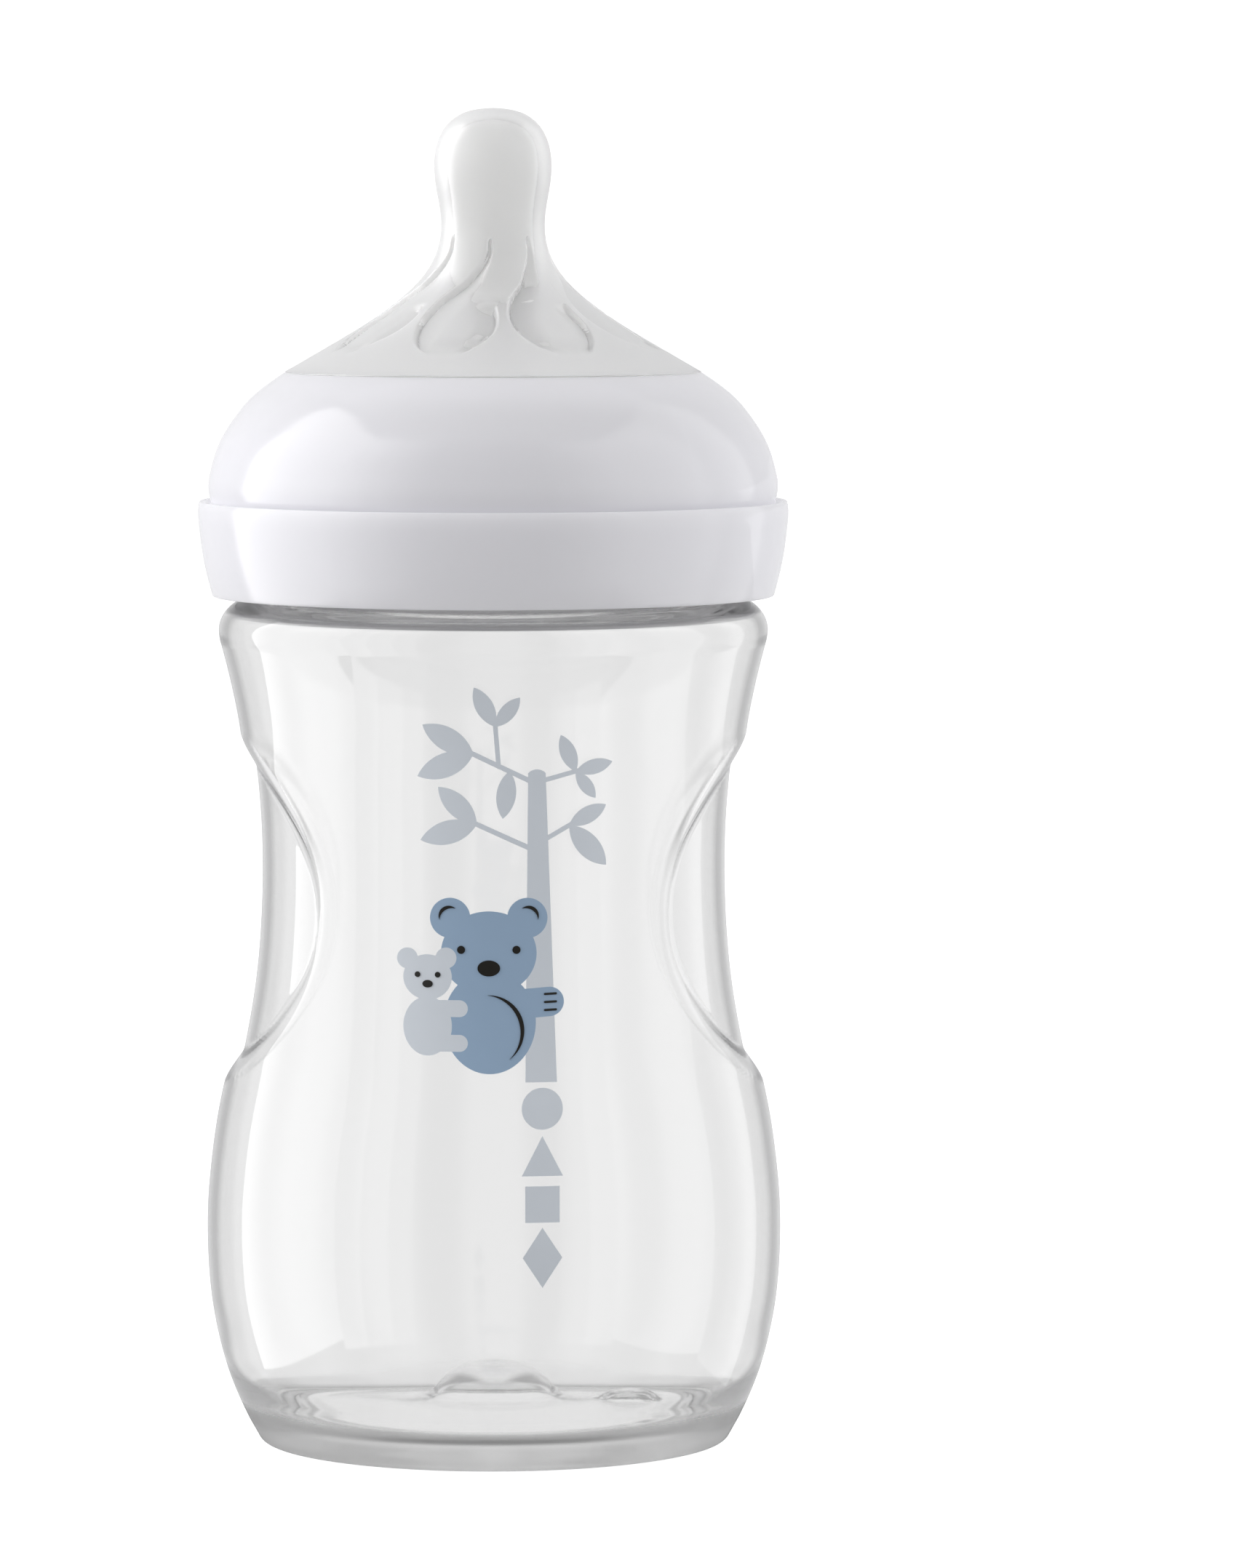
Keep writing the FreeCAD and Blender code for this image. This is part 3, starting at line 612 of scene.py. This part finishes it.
def clear_plastic():
    """Clear polypropylene with a faint waviness and a dull heel."""
    material, tree, shader = new_material("clear_plastic")
    vary_colour(tree, shader, (0.93, 0.93, 0.93), (0.91, 0.91, 0.91), 12)
    set_plain(shader, IOR=1.49, Transmission_Weight=1.0)
    frost_heel(tree, shader, 0.05, 0.45)
    add_bump(tree, shader, 45, 2, 0.00002)
    return material


def white_plastic():
    """Glossy white plastic that lets a little light through, with a painted glow over it all."""
    material, tree, shader = new_material("white_plastic")
    vary_colour(tree, shader, (0.705, 0.70, 0.74), (0.685, 0.68, 0.72), 30)
    set_plain(shader, Roughness=0.15, IOR=1.49, Subsurface_Weight=0.35, Subsurface_Scale=0.006)
    # Painted light: a faint white glow that brightens the whole ring, most of all the shaded hollow
    # under the collar.
    set_plain(shader, Emission_Strength=0.13)
    shader.inputs["Emission Color"].default_value = (1, 1, 1, 1)
    shader.inputs["Subsurface Radius"].default_value = (1, 1, 1)
    add_bump(tree, shader, 900, 4, 0.000004)
    return material


def milky_silicone():
    """Translucent rubber that spreads the light through its whole wall, with a faint painted glow
    over it all.
    """
    material, tree, shader = new_material("milky_silicone")
    vary_colour(tree, shader, (0.92, 0.92, 0.915), (0.90, 0.90, 0.895), 40)
    set_plain(shader, Roughness=0.4, IOR=1.3, Transmission_Weight=0.42)
    # Painted light: Emission_Strength is a faint white glow that brightens the teat all over and
    # softens its shading.
    set_plain(shader, Subsurface_Weight=1.0, Subsurface_Scale=0.012, Emission_Strength=0.06)
    shader.inputs["Emission Color"].default_value = (1, 1, 1, 1)
    shader.inputs["Subsurface Radius"].default_value = (1, 1, 1)
    add_bump(tree, shader, 700, 4, 0.000006)
    return material


def ink(name, tone):
    """Printed ink, with a faint glow for the light that comes through it from behind."""
    material, tree, shader = new_material(name)
    darker = tuple(0.95 * c for c in tone)
    vary_colour(tree, shader, tone, darker, 300)
    set_plain(shader, Roughness=0.42, IOR=1.45, Emission_Strength=0.2)
    shader.inputs["Emission Color"].default_value = (*tone, 1)
    add_bump(tree, shader, 2500, 3, 0.000002)
    return material


def floor_paint():
    """A pale floor whose own glow keeps it as bright as the backdrop without lighting the object."""
    material, tree, shader = new_material("floor_paint")
    vary_colour(tree, shader, (0.50, 0.50, 0.50), (0.48, 0.48, 0.48), 3)
    set_plain(shader, Roughness=0.75, Specular_IOR_Level=0.0)
    shader.inputs["Emission Color"].default_value = (1, 1, 1, 1)
    path = tree.nodes.new("ShaderNodeLightPath")
    glow = tree.nodes.new("ShaderNodeMapRange")
    glow.inputs["To Min"].default_value = FLOOR_GLOW
    glow.inputs["To Max"].default_value = 0
    tree.links.new(path.outputs["Is Diffuse Ray"], glow.inputs["Value"])
    tree.links.new(glow.outputs["Result"], shader.inputs["Emission Strength"])
    return material


def paint(piece, material):
    """Give a piece its one material, in one slot that all its faces use."""
    piece.data.materials.clear()
    piece.data.materials.append(material)
    for face in piece.data.polygons:
        face.material_index = 0


# ---------------------------------------------------------------- object

bottle = build_bottle()
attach(bottle, "bottle")
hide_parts("bottle")
paint(bottle, clear_plastic())

ring = build_ring()
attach(ring, "ring")
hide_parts("screw_ring")
paint(ring, white_plastic())

teat = build_teat()
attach(teat, "teat")
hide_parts("teat")
paint(teat, milky_silicone())

GREY_INK = ink("grey_ink", (0.61, 0.65, 0.70))
BLUE_INK = ink("blue_ink", (0.285, 0.395, 0.535))
BLACK_INK = ink("black_ink", (0.013, 0.012, 0.010))
for node, material, slot in (
    ("print_tree", GREY_INK, "grey_ink"), ("print_symbols", GREY_INK, "grey_ink"),
    ("print_bear", BLUE_INK, "blue_ink"), ("print_cub", GREY_INK, "grey_ink"),
    ("print_details", BLACK_INK, "black_ink"),
):
    paint(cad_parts[node], material)


# ---------------------------------------------------------------- studio

FLOOR_REACH = 9000
FLOOR_DROP = 0.0002
FRONT_TONE = (0.08, 0.08, 0.081, 1)
BACK_TONE = (0.66, 0.66, 0.67, 1)
PANEL_TONE = 1.0
BETWEEN_TONE = 0.47
BELOW_TONE = 0.22
BACKDROP = 1.1
PANELS = 8.0
# Where the tones run into each other: from front to back, from gap to panel, and from below up.
BACK_RANGE = (-0.3, 0.7)
PANEL_RANGE = (-0.95, 0.35)
BELOW_RANGE = (-0.85, -0.5)
TOP_LIGHT = {"place": (0, 0, 1.4), "target": (0, 0, 0), "width": 1.6, "height": 1.6, "radiance": 0.34}
# First and last angle of each strip, counted from the front in degrees, and its radiance.
SIDE_STRIPS = [
    (-120, -66, 2.6), (-66, -54, 1.9), (-54, -42, 1.1), (-42, -32, 0.5),
    (98, 129, 0.7), (50, 98, 1.35), (38, 50, 0.9), (26, 38, 0.4),
]
STRIP_AWAY = 1.1
STRIP_MIDDLE = 0.55
STRIP_HEIGHT = 2.1
LENS = 197.3
SENSOR = 36
CAMERA_PLACE = (0, -1.05, 0.16)
CAMERA_TARGET = (0.0164, 0, 0.0806)


def build_floor():
    """A pale floor; the clear pieces look past it at the light panels."""
    corners = [(-1, -1), (1, -1), (1, 1), (-1, 1)]
    places = [(x * FLOOR_REACH, y * FLOOR_REACH, 0) for x, y in corners]
    floor = make_mesh("floor", places, [(0, 1, 2, 3)])
    floor.location.z = -FLOOR_DROP
    floor.data.materials.append(floor_paint())
    floor.visible_transmission = False
    floor.visible_glossy = False


def grey(tone):
    """A neutral colour of one tone."""
    return (tone, tone, tone, 1)


def build_world():
    """Light panels around the object for what shows through it, in a dimmer room."""
    world = bpy.data.worlds.new("studio")
    bpy.context.scene.world = world
    world.use_nodes = True
    tree = world.node_tree
    back = tree.nodes["Background"]
    place = tree.nodes.new("ShaderNodeTexCoord")
    split = tree.nodes.new("ShaderNodeSeparateXYZ")
    tree.links.new(place.outputs["Generated"], split.inputs["Vector"])
    path = tree.nodes.new("ShaderNodeLightPath")
    backness = add_range(tree, split.outputs["Y"], *BACK_RANGE)
    room = add_mix(tree, FRONT_TONE, BACK_TONE, backness)
    azimuth = add_math(tree, "ARCTAN2", split.outputs["Y"], split.outputs["X"])
    wave = tree.nodes.new("ShaderNodeMath")
    wave.operation = "COSINE"
    tree.links.new(add_math(tree, "MULTIPLY", azimuth, PANELS), wave.inputs[0])
    share = add_range(tree, wave.outputs["Value"], *PANEL_RANGE)
    panels = add_mix(tree, grey(BETWEEN_TONE), grey(PANEL_TONE), share)
    above = add_range(tree, split.outputs["Z"], *BELOW_RANGE)
    panels = add_mix(tree, grey(BELOW_TONE), panels, above)
    seen_through = add_mix(tree, room, panels, path.outputs["Is Transmission Ray"])
    shown = add_mix(tree, seen_through, grey(BACKDROP), path.outputs["Is Camera Ray"])
    tree.links.new(shown, back.inputs["Color"])


def add_softbox(name, place, target, width, height, radiance):
    """A soft rectangular light that does not show through the clear pieces."""
    data = bpy.data.lights.new(name, "AREA")
    data.shape = "RECTANGLE"
    data.size = width
    data.size_y = height
    data.energy = radiance * math.pi * width * height
    light = bpy.data.objects.new(name, data)
    light.location = place
    light.rotation_euler = (Vector(target) - Vector(place)).to_track_quat("-Z", "Y").to_euler()
    light.visible_transmission = False
    bpy.context.scene.collection.objects.link(light)


def add_side_lights():
    """Upright strips around the object, dimmer towards the front."""
    for number, (first, last, radiance) in enumerate(SIDE_STRIPS):
        middle = math.radians((first + last) / 2)
        width = 2 * STRIP_AWAY * math.tan(math.radians((last - first) / 2))
        place = (STRIP_AWAY * math.sin(middle), -STRIP_AWAY * math.cos(middle), STRIP_MIDDLE)
        target = (0, 0, STRIP_MIDDLE)
        add_softbox(f"side_strip_{number + 1}", place, target, width, STRIP_HEIGHT, radiance)


def build_camera():
    """The photograph's view: a long lens a metre away, almost level with the teat's tip."""
    data = bpy.data.cameras.new("camera")
    data.lens = LENS
    data.sensor_width = SENSOR
    data.clip_end = 50
    camera = bpy.data.objects.new("camera", data)
    place = Vector(CAMERA_PLACE)
    camera.location = place
    camera.rotation_euler = (Vector(CAMERA_TARGET) - place).to_track_quat("-Z", "Y").to_euler()
    bpy.context.scene.collection.objects.link(camera)
    bpy.context.scene.camera = camera


build_floor()
build_world()
add_softbox("top_softbox", **TOP_LIGHT)
add_side_lights()
build_camera()
bpy.context.scene.view_settings.view_transform = "Standard"
# Light in the clear walls bounces many times before it comes out.
bpy.context.scene.cycles.max_bounces = 40
bpy.context.scene.cycles.transmission_bounces = 32
bpy.context.scene.cycles.glossy_bounces = 32
